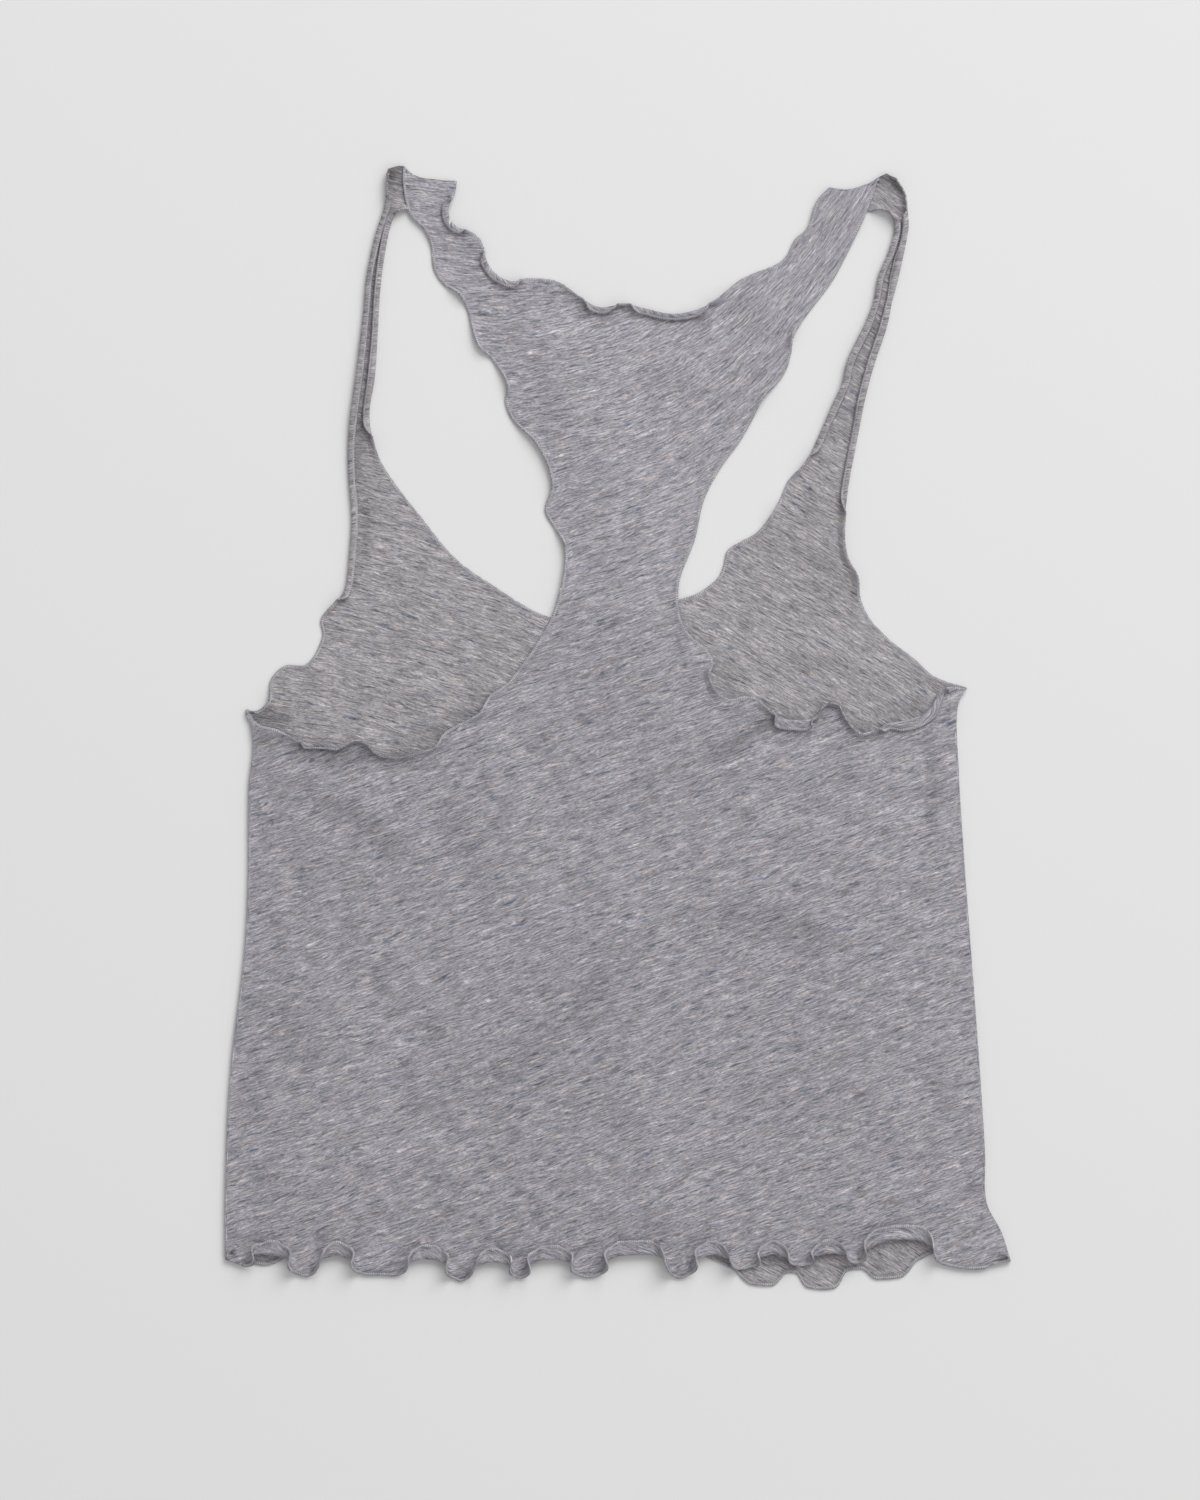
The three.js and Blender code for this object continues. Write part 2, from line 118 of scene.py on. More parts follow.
# The fold line arches in under each flip, over a ramp of this length.
HEM_ARCH = 1.8
ROUND_RAMP = 8
# The band narrows to this share at the neck between a flip and a tab.
NECK_SHARE = 0.8
# Past the front's hem, what is turned up less than this (degrees) comes down most of the way.
LYING_TURN = (10, 60)
DROOP_PAST = (2, 11)
DROOP_GAP = 0.15
DROOP = 0.7

# Rolled edges: a bead of cloth wrapped in thread, narrower over the last rings at its ends.
BEAD_WIDTH = 1.8
BEAD_HEIGHT = 1.0
BEAD_SIDES = 10
TAPER_RINGS = 3
TAPER_SHARE = 0.25
STITCH_PITCH = 1.1
# The painted shade beside the bead, a dark line on the cloth for the groove where the bead sits on it: how
# dark, how far off, and how wide.
HEM_GROOVE_SHADE = 0.5
EDGE_GROOVE_SHADE = 0.15
GROOVE_SHADE_GAP = 0.4
GROOVE_SHADE_WIDTH = 0.7

# Seams: the turned edge along each side and each shoulder.
SEAM_WIDTH = 1.5
SEAM_INSET = 0.7
SEAM_STEP = 1.5
SEAM_COVER = 0.6

# How finely the cloth is divided.
CURVE_STEPS = 24
FIELD_PITCH = 3.6
FIELD_CLEARANCE = 2.2
EDGE_STEP = 1.5
HEM_STEP = 0.6
BAND_ROWS = 12
NORMAL_REACH = 8
# Settings of delaunay_2d_cdt: triangles inside the outline only, and how close is the same point.
INSIDE_ONLY = 1
SAME_POINT = 1e-6

# From the middle of a turned band's cloth to its outline seen from above.
OUTER_FACE = 0.5

# The knit: how far its lines slant and how close they lie. Across the back they climb in step with
# x on the body and by a cubic of x on the straps; across the front they fall by a square of x.
YARN_SLANT = 0.3
YARN_CLOSE = 0.93
BODY_CLIMB = 0.36
STRAP_CUBIC = (0.3, 0.003, 6.4e-6)
YARN_TURN = (330, 540)
FRONT_SQUARE = (0.418, 0.00066)

# How a band lies: its width, how far it turns up and over (degrees), and the radius of the turn.
LIE = {
    "seam": (2.0, 0, 1.3),
    "flat": (5.0, 0, 1.3),
    "wavy": (5.0, 40, 1.3),
    "stand": (5.0, 72, 1.5),
    "lip": (6.0, 206, 1.2),
    "cuff": (8.2, 197, 1.2),
    "roll": (8.0, 262, 1.75),
    "slim": (6.4, 262, 1.4),
    "fold": (8.6, 228, 1.6),
    "rim": (5.6, 96, 1.5),
    "tab": (10.5, 0, 1.4),
    "flip": (11, 184, 1.4),
    "short": (5.5, 0, 1.4),
}

LEFT_SEAM = [
    [-194, 297, "seam"],
    [-190.5, 287, "seam"],
    [-190, 275, "seam"],
    [-192, 258, "seam"],
    [-192.5, 205, "seam"],
    [-194.5, 167, "seam"],
    [-201, 113, "seam"],
    [-203.5, 80, "seam"],
    [-205, 32, "seam"],
    [-205, 16, "seam"],
    [-205, -1, "tab"],
]
RIGHT_SEAM = [
    [219, -0.5, "tab"],
    [214, 15, "seam"],
    [206, 31, "seam"],
    [205, 59, "seam"],
    [201.5, 113, "seam"],
    [197.5, 167, "seam"],
    [193.5, 221, "seam"],
    [191, 262, "seam"],
    [190.6, 300, "seam"],
    [195.5, 309, "seam"],
]

# The fold line of the back hem, and how far the tabs reach out from it.
BACK_HEM = [
    [-197.5, 7, 10.5],
    [-181, 3, 11],
    [-160, 2.6, 11.6],
    [-145, 2.5, 11],
    [-121, 1.6, 9.8],
    [-94, 0.4, 10.5],
    [-78, -0.6, 11],
    [-62, -1.3, 10.5],
    [-46, -0.5, 10.5],
    [-30, 0.2, 10.5],
    [-9, 1.2, 10.8],
    [16, 2.8, 11],
    [40, 2.8, 12.8],
    [58, 2.8, 11],
    [75, 3, 8],
    [90, 3.2, 7.5],
    [104, 3.2, 6.5],
    [121, 3.6, 7.5],
    [134, 5.6, 8.5],
    [158, 11, 10.5],
    [178, 9.5, 11],
    [197, 6, 11],
    [211.5, 7.5, 11],
]
# The stretches of the back hem that are flipped up onto the right side: where each starts, over how
# long a ramp, and where and how it ends.
BACK_HEM_FLIPS = [
    (-189.5, 8, -170, 9),
    (-153, 14, -136, 9),
    (-106, 11, -85, 9),
    (-70, 13, -51, 9),
    (-41, 9, -18, 9),
    (0.5, 9, 32, 13),
    (49, 9, 67, 13),
    (83, 9, 99, 11),
    (112, 9, 130, 11),
    (140, 10, 177, 13),
]
BACK_RIGHT_ARMHOLE = [
    [195.5, 309, "seam"],
    [186, 309.5, "flat"],
    [180.5, 307.5, "lip"],
    [178, 302.5, "lip"],
    [174, 297, "cuff"],
    [168.5, 293.5, "cuff"],
    [160, 291.2, "cuff"],
    [152, 289.8, "lip"],
    [145.5, 286, "wavy"],
    [138.5, 284.4, "wavy"],
    [133.5, 287.5, "stand"],
    [129, 293.5, "stand"],
    [125.8, 299.6, "stand"],
    [120, 300.5, "stand"],
    [115.3, 296.3, "stand"],
    [113, 293, "wavy"],
    [108, 291.8, "cuff"],
    [101, 291.8, "cuff"],
    [94.5, 293, "cuff"],
    [91, 295.5, "wavy"],
    [87.8, 298, "wavy"],
    [82.5, 303.2, "flat"],
    [76, 304.6, "flat"],
    [69, 302.8, "flat"],
    [64, 304.2, "flat"],
    [58.7, 309, "wavy"],
    [56.8, 316, "wavy"],
    [58.5, 321, "flat"],
    [57, 327, "flat"],
    [44, 340, "flat"],
    [40, 350.5, "flat"],
    [39.5, 358, "flat"],
    [40.5, 368, "flat"],
    [48.5, 389, "flat"],
    [53.5, 410.5, "flat"],
    [62, 427, "flat"],
    [73.5, 443, "flat"],
    [79.5, 453.5, "flat"],
    [85, 464.5, "wavy"],
    [96.5, 478, "flat"],
    [100.5, 489, "flat"],
    [101.5, 498, "wavy"],
    [107, 507.5, "flat"],
    [123, 529, "flat"],
    [134.5, 551, "flat"],
    [143, 570, "flat"],
    [147.5, 584, "seam"],
]
BACK_RIGHT_SHOULDER = [
    [147.5, 584, "seam"],
    [141.5, 581, "seam"],
    [131, 578, "seam"],
    [121, 579, "seam"],
]
BACK_NECK = [
    [121, 579, "seam"],
    [114.5, 572, "flat"],
    [109, 557, "flat"],
    [102.5, 551, "flat"],
    [96, 540, "flat"],
    [73.5, 529.5, "flat"],
    [60, 518.5, "wavy"],
    [47.5, 512.5, "lip"],
    [35, 511, "lip"],
    [21, 514, "lip"],
    [11, 516.2, "wavy"],
    [-3, 514.5, "lip"],
    [-14.5, 520.5, "wavy"],
    [-25, 528, "flat"],
    [-35, 530, "flat"],
    [-43.5, 529.8, "flat"],
    [-50, 528.4, "lip"],
    [-58, 531.8, "lip"],
    [-63.3, 538.5, "lip"],
    [-65.2, 546, "flat"],
    [-67.8, 551.5, "flat"],
    [-73, 555.3, "flat"],
    [-79, 557.3, "lip"],
    [-83.6, 562, "lip"],
    [-84, 568.5, "lip"],
    [-81, 575.5, "flat"],
    [-80, 582.5, "seam"],
]
BACK_LEFT_SHOULDER = [
    [-80, 582.5, "seam"],
    [-95, 583.5, "seam"],
    [-103.5, 586, "seam"],
    [-109, 591, "seam"],
]
BACK_LEFT_ARMHOLE = [
    [-109, 591, "seam"],
    [-109, 580, "flat"],
    [-105.5, 564.5, "flat"],
    [-97.5, 556, "flat"],
    [-94, 547.5, "flat"],
    [-92.5, 535, "flat"],
    [-87, 526.5, "flat"],
    [-79, 521.5, "wavy"],
    [-74.5, 513, "flat"],
    [-68.5, 493.5, "wavy"],
    [-61, 486, "flat"],
    [-52.5, 471.5, "wavy"],
    [-54, 464.5, "flat"],
    [-50, 453.5, "flat"],
    [-39, 443, "wavy"],
    [-32, 431.5, "wavy"],
    [-28.5, 418, "wavy"],
    [-32.5, 405, "flat"],
    [-28, 396, "flat"],
    [-22, 386, "wavy"],
    [-22.5, 369.5, "wavy"],
    [-29, 347, "flat"],
    [-35, 336, "flat"],
    [-52.5, 312, "flat"],
    [-62.5, 304.5, "flat"],
    [-68.5, 295, "wavy"],
    [-81.5, 288, "flat"],
    [-88, 283.5, "flat"],
    [-91, 278.5, "wavy"],
    [-96, 275.4, "wavy"],
    [-103, 274, "wavy"],
    [-112, 272, "wavy"],
    [-118.5, 272.3, "wavy"],
    [-124.5, 274.3, "stand"],
    [-128, 278, "stand"],
    [-133, 280.6, "stand"],
    [-138, 279.4, "stand"],
    [-141, 277.5, "stand"],
    [-146, 278.8, "lip"],
    [-154, 279.6, "lip"],
    [-161, 279.6, "lip"],
    [-165, 280.5, "wavy"],
    [-171, 284, "flat"],
    [-178, 287, "flat"],
    [-187, 289.5, "seam"],
    [-194, 297, "seam"],
]

FRONT_HEM = [
    [-198, 12, "tab"],
    [-184, 7.5, "tab"],
    [-166, 10, "short"],
    [-148, 11, "short"],
    [-122, 10, "short"],
    [-94, 9, "short"],
    [-70, 8, "short"],
    [-45, 8, "short"],
    [-20, 8.5, "short"],
    [10, 9, "short"],
    [35, 9, "short"],
    [58, 6, "short"],
    [70, 0.5, "short"],
    [81, -3, "tab"],
    [89, -3.5, "tab"],
    [98, -1.5, "short"],
    [104, -1.8, "short"],
    [112, -4.8, "tab"],
    [121, -5.2, "tab"],
    [129, -0.8, "short"],
    [138, 0.5, "short"],
    [147, 0, "tab"],
    [157, 0.8, "tab"],
    [167, 5, "short"],
    [175, 8.5, "short"],
    [195, 10, "tab"],
    [212, 9, "tab"],
]
FRONT_RIGHT_ARMHOLE = [
    [195.5, 309, "seam"],
    [187, 311.5, "flat"],
    [177, 315.5, "flat"],
    [167.5, 324, "flat"],
    [153.5, 335, "flat"],
    [142.5, 347, "flat"],
    [138, 357, "flat"],
    [136.5, 369, "wavy"],
    [131.5, 378, "wavy"],
    [129.5, 387, "wavy"],
    [129.5, 398, "wavy"],
    [131.5, 417.5, "lip"],
    [136, 441.5, "lip"],
    [140.5, 464.5, "roll"],
    [145.5, 483.5, "roll"],
    [152.5, 504.5, "roll"],
    [155, 517, "slim"],
    [158.5, 530, "fold"],
    [160.5, 539, "fold"],
    [162.6, 549, "slim"],
    [164, 557.5, "slim"],
    [163.5, 567, "rim"],
    [162.5, 575, "rim"],
    [158.5, 582, "rim"],
    [152, 586.5, "seam"],
]
FRONT_RIGHT_SHOULDER = [
    [152, 586.5, "seam"],
    [147.1, 584.2, "seam"],
    [141.5, 580.5, "seam"],
    [130, 577.5, "seam"],
]
FRONT_NECK = [
    [130, 577.5, "seam"],
    [134, 570, "flat"],
    [143.5, 566, "flat"],
    [147, 567, "wavy"],
    [151.5, 566, "rim"],
    [155, 562.5, "rim"],
    [156, 557, "slim"],
    [153, 545, "slim"],
    [147.5, 532, "slim"],
    [144.5, 517, "slim"],
    [140, 505.5, "roll"],
    [130.5, 485.5, "roll"],
    [127.5, 473, "roll"],
    [122.5, 462, "roll"],
    [114.5, 443.5, "lip"],
    [108, 430.5, "wavy"],
    [99, 421, "flat"],
    [95, 412, "flat"],
    [91, 404, "wavy"],
    [81.5, 392.5, "flat"],
    [72.5, 387.5, "flat"],
    [66, 383, "flat"],
    [64, 375, "flat"],
    [61, 368.5, "flat"],
    [50, 360, "flat"],
    [38, 356, "flat"],
    [0, 344.5, "flat"],
    [-30, 347, "flat"],
    [-61, 364.5, "flat"],
    [-81, 379, "flat"],
    [-100, 402, "flat"],
    [-108, 412, "flat"],
    [-115, 421.5, "flat"],
    [-121, 431, "flat"],
    [-124.5, 440.5, "wavy"],
    [-127, 456, "lip"],
    [-124, 477, "roll"],
    [-122.5, 501, "slim"],
    [-121, 525, "slim"],
    [-118, 547, "slim"],
    [-115, 560, "slim"],
    [-112, 565.5, "rim"],
    [-107.5, 567, "wavy"],
    [-104, 566, "flat"],
    [-95, 568.5, "flat"],
    [-88, 583, "seam"],
]
FRONT_LEFT_SHOULDER = [
    [-88, 583, "seam"],
    [-103.5, 585.5, "seam"],
    [-109.5, 590.5, "seam"],
    [-117, 589, "seam"],
]
FRONT_LEFT_ARMHOLE = [
    [-117, 589, "seam"],
    [-118, 584, "rim"],
    [-118.5, 576, "rim"],
    [-119.5, 568, "slim"],
    [-124, 554, "slim"],
    [-129, 530.5, "slim"],
    [-130.5, 513, "slim"],
    [-134.5, 480, "roll"],
    [-138, 454, "roll"],
    [-139, 437, "lip"],
    [-138.5, 421, "lip"],
    [-137, 400.5, "lip"],
    [-138, 384, "lip"],
    [-141, 361.5, "lip"],
    [-146, 355, "wavy"],
    [-153.5, 346, "flat"],
    [-152.5, 337.5, "flat"],
    [-158, 325, "flat"],
    [-163, 321, "flat"],
    [-172.5, 321, "flat"],
    [-180.5, 313.5, "flat"],
    [-181.5, 302, "wavy"],
    [-188, 296.5, "flat"],
    [-194, 297, "seam"],
]

# Soft creases of the laid cloth: a line from one end to the other, how wide, and how high or deep.
# Creases that go down are also painted darker along their valley: painted shade.
BACK_CREASES = [
    (-178, 262, -94, 194, 8, -1.3),
    (-172, 268, -100, 214, 10, 1.2),
    (-94, 248, -62, 173, 8, -1.6),
    (26, 178, -98, 76, 9, -1.9),
    (26, 160, -60, 88, 12, 2.0),
    (46, 184, 138, 159, 10, -1.4),
    (50, 198, 140, 172, 13, 1.3),
    (171, 288, 173, 214, 4, -3.0),
    (96, 297, 46, 266, 5, -3.8),
    (86, 284, 44, 258, 8, 2.0),
    (51, 268, -24, 232, 9, -1.2),
    (28, 350, 58, 333, 6, -1.6),
    (-197, 140, -159, 97, 10, -1.6),
    (-100, 140, -92, 105, 9, -1.2),
    (-13, 92, 20, 54, 10, -1.2),
    (120, 110, 160, 60, 14, 1.6),
    (-150, 60, -60, 30, 14, 1.4),
    (116, 262, 140, 250, 7, -1.4),
    (-66, 300, -96, 268, 9, 1.6),
    (-192, 286, -138, 264, 7, -3.6),
    (-156, 271, -92, 268, 6, -2.8),
    (30, 498, 50, 470, 9, 1.8),
    (14, 512, 54, 508, 4, -3.5),
]
# Where an edge stands up from what it lies on: a line along the edge, as above.
BACK_LIFTS = [
    (-188, 290, -164, 278, 7, 2.8),
    (-160, 274, -142, 275, 7, 2.0),
    (-140, 280, -126, 278, 6, 2.8),
    (-122, 271, -96, 273, 8, 2.4),
    (-92, 278, -56, 306, 7, 2.0),
    (57, 324, 58, 308, 6, 1.6),
    (62, 304, 84, 302, 7, 2.2),
    (88, 297, 94, 289, 7, 2.6),
    (96, 288, 112, 288, 8, 1.8),
    (115, 298, 129, 294, 6, 2.8),
    (130, 292, 142, 282, 7, 2.4),
    (146, 284, 178, 289, 8, 2.2),
    (180, 292, 186, 306, 7, 2.0),
    (-82, 556, -62, 543, 7, 1.6),
    (-58, 533, -42, 528, 8, 1.8),
    (-16, 520, 60, 517, 9, 2.2),
]
FRONT_LIFTS = [
    (-118, 588, -109, 591, 4, 2.6),
    (148, 586, 158, 584, 4, 2.2),
]
# As for the back, creases that go down are painted darker along their valley. The deepest rows, at the
# shoulders, along the left strap and in the left seam corner, are there mostly for this painted shade.
FRONT_CREASES = [
    (89, 386, 140, 348, 5, 2.2),
    (86, 389, 140, 356, 4, -3.4),
    (-106, 272, -54, 306, 5, -3.2),
    (58, 326, 72, 296, 5, -2.0),
    (-134.6, 466, -135.6, 416, 2.4, -5.0),
    (-131.5, 420, -131.5, 376, 2.4, -5.0),
    (100, 330, 165, 306, 8, 1.6),
    (-120, 390, -96, 340, 9, 1.4),
    (-150, 318, -90, 300, 9, 1.4),
    (-117, 578, -109, 597, 6, -7.0),
    (138, 584, 166, 582, 5, -7.0),
    (-196, 295, -166, 289, 5, -6.0),
]


def smooth(value, low, high):
    """0 below low and 1 above high, with an easy rise between."""
    share = np.clip((value - low) / (high - low), 0, 1)
    return share * share * (3 - 2 * share)


def spline(rows, step):
    """Even samples of a centripetal curve through the rows, and the row that each lies at."""
    knots = np.array([row[:2] for row in rows], float)
    ends = np.vstack([2 * knots[0] - knots[1], knots, 2 * knots[-1] - knots[-2]])
    spans = np.linalg.norm(np.diff(ends, axis=0), axis=1) ** 0.5
    dense, places = [], []
    t = np.linspace(0, 1, CURVE_STEPS, endpoint=False)[:, None]
    for i in range(len(knots) - 1):
        p0, p1, p2, p3 = ends[i : i + 4]
        d0, d1, d2 = spans[i : i + 3]
        start = ((p1 - p0) / d0 - (p2 - p0) / (d0 + d1) + (p2 - p1) / d1) * d1
        end = ((p2 - p1) / d1 - (p3 - p1) / (d1 + d2) + (p3 - p2) / d2) * d1
        cube, square = 2 * p1 - 2 * p2 + start + end, -3 * p1 + 3 * p2 - 2 * start - end
        dense.append(cube * t**3 + square * t**2 + start * t + p1)
        places.append(i + t[:, 0])
    dense = np.vstack([*dense, knots[-1:]])
    places = np.append(np.concatenate(places), len(knots) - 1)
    length = np.insert(np.cumsum(np.linalg.norm(np.diff(dense, axis=0), axis=1)), 0, 0)
    wanted = np.linspace(0, length[-1], max(3, round(length[-1] / step)), endpoint=False)
    return (
        np.column_stack([np.interp(wanted, length, dense[:, k]) for k in (0, 1)]),
        np.interp(wanted, length, places),
    )


def row_lies(rows, places):
    """Width, turn and radius of the band at each sample, and no sway."""
    lies = np.array([LIE[row[2]] for row in rows], float)
    row = np.minimum(places.astype(int), len(rows) - 2)
    share = smooth(places - row, 0, 1)[:, None]
    return np.column_stack([lies[row] * (1 - share) + lies[row + 1] * share, np.zeros(len(places))])


def hem_lies(x, tab_width, flips):
    """As row_lies but with sway, for a hem of tabs and flips, and how far its fold line arches in."""
    share, sway, arch, near = (np.zeros(len(x)) for _ in range(4))
    for start, start_ramp, end, end_ramp in flips:
        rise = smooth(x, start - start_ramp / 2, start + start_ramp / 2)
        fall = smooth(x, end - end_ramp / 2, end + end_ramp / 2)
        share = np.maximum(share, rise * (1 - fall))
        for ramp, turned in ((start_ramp, rise), (end_ramp, fall)):
            sway += HEM_SWAY * (STEEP_RAMP / ramp) ** 3 * np.sin(2 * np.pi * turned)
        half = min(ROUND_RAMP, (end - start) / 2)
        arch = np.maximum(arch, smooth(x, start, start + half) * (1 - smooth(x, end - half, end)))
        by = smooth(x, start - ROUND_RAMP, start) * (1 - smooth(x, end, end + ROUND_RAMP))
        near = np.maximum(near, by)
    tab = np.tile(LIE["tab"], (len(x), 1))
    tab[:, 0] = tab_width
    lies = tab + (np.array(LIE["flip"]) - tab) * share[:, None]
    full = np.maximum(arch, 1 - near)
    lies[:, 0] *= NECK_SHARE + (1 - NECK_SHARE) * full
    return np.column_stack([lies, sway]), HEM_ARCH * arch


def band_points(lies, along):
    """How far out and up from the fold line the band is, this far along its width."""
    turn, radius = np.radians(lies[:, 1]), lies[:, 2]
    bend = np.minimum(along, radius * turn)
    angle = bend / radius
    flap = along - bend
    out = radius * np.sin(angle) + flap * np.cos(angle)
    up = radius * (1 - np.cos(angle)) + flap * np.sin(angle)
    return out, up


def drooped(xy, height, lies):
    """The height, lower where the band lies flat past the end of the front panel."""
    lying = 1 - smooth(lies[:, 1], *LYING_TURN)
    past = smooth(-xy[:, 1], *DROOP_PAST)
    return height - (height - FRONT_LEVEL - DROOP_GAP) * past * lying * DROOP


def band_place(loop, normals, lies, base, along):
    """Where the band is this far along its width, and how far it sways to the side there."""
    out, up = band_points(lies, along)
    side = np.column_stack([-normals[:, 1], normals[:, 0]])
    sway = side * (lies[:, 3] * (along / lies[:, 0]) ** 2)[:, None]
    xy = loop + normals * out[:, None] + sway
    return np.column_stack([xy, drooped(xy, base + up, lies)]), sway


def band_reach(lies):
    """How far the band reaches out from the fold line, seen from above."""
    edge, _ = band_points(lies, lies[:, 0])
    bend = np.minimum(np.radians(lies[:, 1]), np.pi / 2)
    return np.maximum(edge, (lies[:, 2] + OUTER_FACE) * np.sin(bend))


def outward_normals(points):
    """The outward direction at each point of the loop, from the chord across a short stretch."""
    sides = np.linalg.norm(np.roll(points, -1, axis=0) - points, axis=1)
    length = np.insert(np.cumsum(sides), 0, 0)
    total = length[-1]
    closed = np.vstack([points, points[:1]])

    def at(distance):
        return np.column_stack([np.interp(distance % total, length, closed[:, k]) for k in (0, 1)])

    chord = at(length[:-1] + NORMAL_REACH) - at(length[:-1] - NORMAL_REACH)
    normals = np.column_stack([chord[:, 1], -chord[:, 0]])
    return normals / np.linalg.norm(normals, axis=1, keepdims=True)


def inside(points, loop):
    """Which of the points lie inside the loop."""
    result = np.zeros(len(points), bool)
    ends = np.roll(loop, -1, axis=0)
    x, y = points[:, 0], points[:, 1]
    for (ax, ay), (bx, by) in zip(loop, ends):
        crosses = (ay > y) != (by > y)
        if crosses.any():
            cut = (bx - ax) * (y - ay) / (by - ay + 1e-12) + ax
            result ^= crosses & (x < cut)
    return result


def field_points(loop):
    """An even triangular grid of points inside the loop, clear of its edge."""
    low, high = loop.min(axis=0), loop.max(axis=0)
    row_pitch = FIELD_PITCH * np.sin(np.pi / 3)
    grid = []
    for row, y in enumerate(np.arange(low[1], high[1], row_pitch)):
        x = np.arange(low[0] + (row % 2) * FIELD_PITCH / 2, high[0], FIELD_PITCH)
        grid.append(np.column_stack([x, np.full(len(x), y)]))
    points = np.vstack(grid)
    points = points[inside(points, loop)]
    tree = point_tree(loop)
    return points[distances(tree, points) > FIELD_CLEARANCE]


def distances(tree, points):
    """How far each point is from the nearest one in the tree."""
    return np.array([tree.find((x, y, 0))[2] for x, y in points])


def point_tree(points):
    tree = kdtree.KDTree(len(points))
    for i, (x, y) in enumerate(points):
        tree.insert((x, y, 0), i)
    tree.balance()
    return tree


def fill(loop):
    """The cloth inside the loop: its points, its triangles, and which points are the loop's."""
    flat = np.vstack([loop, field_points(loop)])
    outline = [list(range(len(loop)))]
    result = delaunay_2d_cdt([tuple(p) for p in flat], [], outline, INSIDE_ONLY, SAME_POINT)
    corners, triangles, origin = result[0], result[2], result[3]
    place = {sources[0]: i for i, sources in enumerate(origin) if sources}
    ring = [place[i] for i in range(len(loop))]
    return np.array([tuple(v) for v in corners]), [tuple(t) for t in triangles], ring


def crease_height(xy, creases):
    """How far the creases lift the cloth at each point, or lower it."""
    height = np.zeros(len(xy))
    for ax, ay, bx, by, width, rise in creases:
        start, side = np.array([ax, ay]), np.array([bx - ax, by - ay], float)
        length = np.linalg.norm(side)
        along = (xy - start) @ side / length
        across = (xy - start) @ np.array([-side[1], side[0]]) / length
        bow = across - CREASE_BOW * length * np.sin(np.pi * np.clip(along / length, 0, 1))
        starting = smooth(along, *(CREASE_START * length))
        ending = smooth(along, *(CREASE_END * length))
        height += rise * starting * (1 - ending) * np.exp(-((bow / width) ** 2))
    return height


def valley_depth(xy, creases):
    """How far down the valley of a crease a point lies; the cloth is painted darker by this much, painted
    shade for the light that comes in less there.
    """
    return -crease_height(xy, [crease for crease in creases if crease[-1] < 0])


def undulation(xy):
    """Broad, shallow waves of cloth that was laid down by hand."""
    x, y = xy[:, 0], xy[:, 1]
    return sum(height * np.sin(x / along + y / up + start) for height, along, up, start in WAVES)


def soft_floor(height):
    """The height where it is well above 0, easing to 0 instead of going below."""
    return 0.5 * (height + np.sqrt(height**2 + SOFTNESS))


def edge_share(inward, at_edge):
    """The share of its ease that the cloth has this far in from its edge."""
    return at_edge + (1 - at_edge) * smooth(inward, *EDGE_EASE)


def front_level(xy, inward):
    """How high the middle of the front's cloth lies, at points this far in from its edge."""
    ease = soft_floor(crease_height(xy, FRONT_CREASES) + FRONT_WAVE_SHARE * undulation(xy))
    ease = ease * edge_share(inward, FRONT_EDGE_SHARE)
    return FRONT_LEVEL + ease + crease_height(xy, FRONT_LIFTS)


def back_level(xy, inward):
    """As front_level, for the back, which lies on the front up to its neck and at its straps."""
    x, y = xy.T
    neck = FRONT_NECK_LOW + FRONT_NECK_CURVE * x**2
    past_neck = smooth(y, neck + NECK_RAMP[0], neck + NECK_RAMP[1])
    over = np.maximum(1 - past_neck, smooth(y, *STRAP_CLIMB))
    hem = HEM_RISE[0] * (1 - smooth(y, 0, HEM_RISE[1]))
    ease = soft_floor(BACK_EASE + undulation(xy) + crease_height(xy, BACK_CREASES))
    ease = ease * edge_share(inward, BACK_EDGE_SHARE) * (1 - CALM_SHARE * smooth(y, *STRAP_CALM))
    return FRONT_LEVEL + BACK_LIFT * over + hem + ease + crease_height(xy, BACK_LIFTS)


def yarn_back(xy):
    """Where a point of the back lies in the knit: along the yarn, and across it."""
    x, y = xy[:, 0], xy[:, 1]
    first, second, third = STRAP_CUBIC
    body = BODY_CLIMB * x
    straps = first * x + second * x**2 + third * x**3
    share = smooth(y, *YARN_TURN)
    rise = body * (1 - share) + straps * share
    return np.column_stack([x + YARN_SLANT * y, (y - rise) * YARN_CLOSE])


def yarn_front(xy):
    """As yarn_back, for the front, whose wrong side shows."""
    x, y = xy[:, 0], xy[:, 1]
    first, second = FRONT_SQUARE
    fall = first * x + second * x * x
    return np.column_stack([x - YARN_SLANT * y, (y + fall) * YARN_CLOSE])


class Edge:
    """One edge of a panel: its table, its flips if it has any, whether it is a hem, and if it is rolled."""

    def __init__(self, name, rows, flips=None, hem=False, rolled=True):
        self.name, self.rows, self.flips, self.hem, self.rolled = name, rows, flips, hem, rolled
        # How dark the painted shade of the groove beside this edge's bead is.
        self.pull = (HEM_GROOVE_SHADE if hem else EDGE_GROOVE_SHADE) * rolled

    def samples(self):
        """Points along the edge, how the band lies there, and how far in its fold line is."""
        points, places = spline(self.rows, HEM_STEP if self.hem else EDGE_STEP)
        if self.flips:
            tab_width = np.interp(places, range(len(self.rows)), [row[2] for row in self.rows])
            lies, inset = hem_lies(points[:, 0], tab_width, self.flips)
        else:
            lies = row_lies(self.rows, places)
            inset = np.zeros(len(points)) if self.hem else band_reach(lies)
        return points, lies, inset


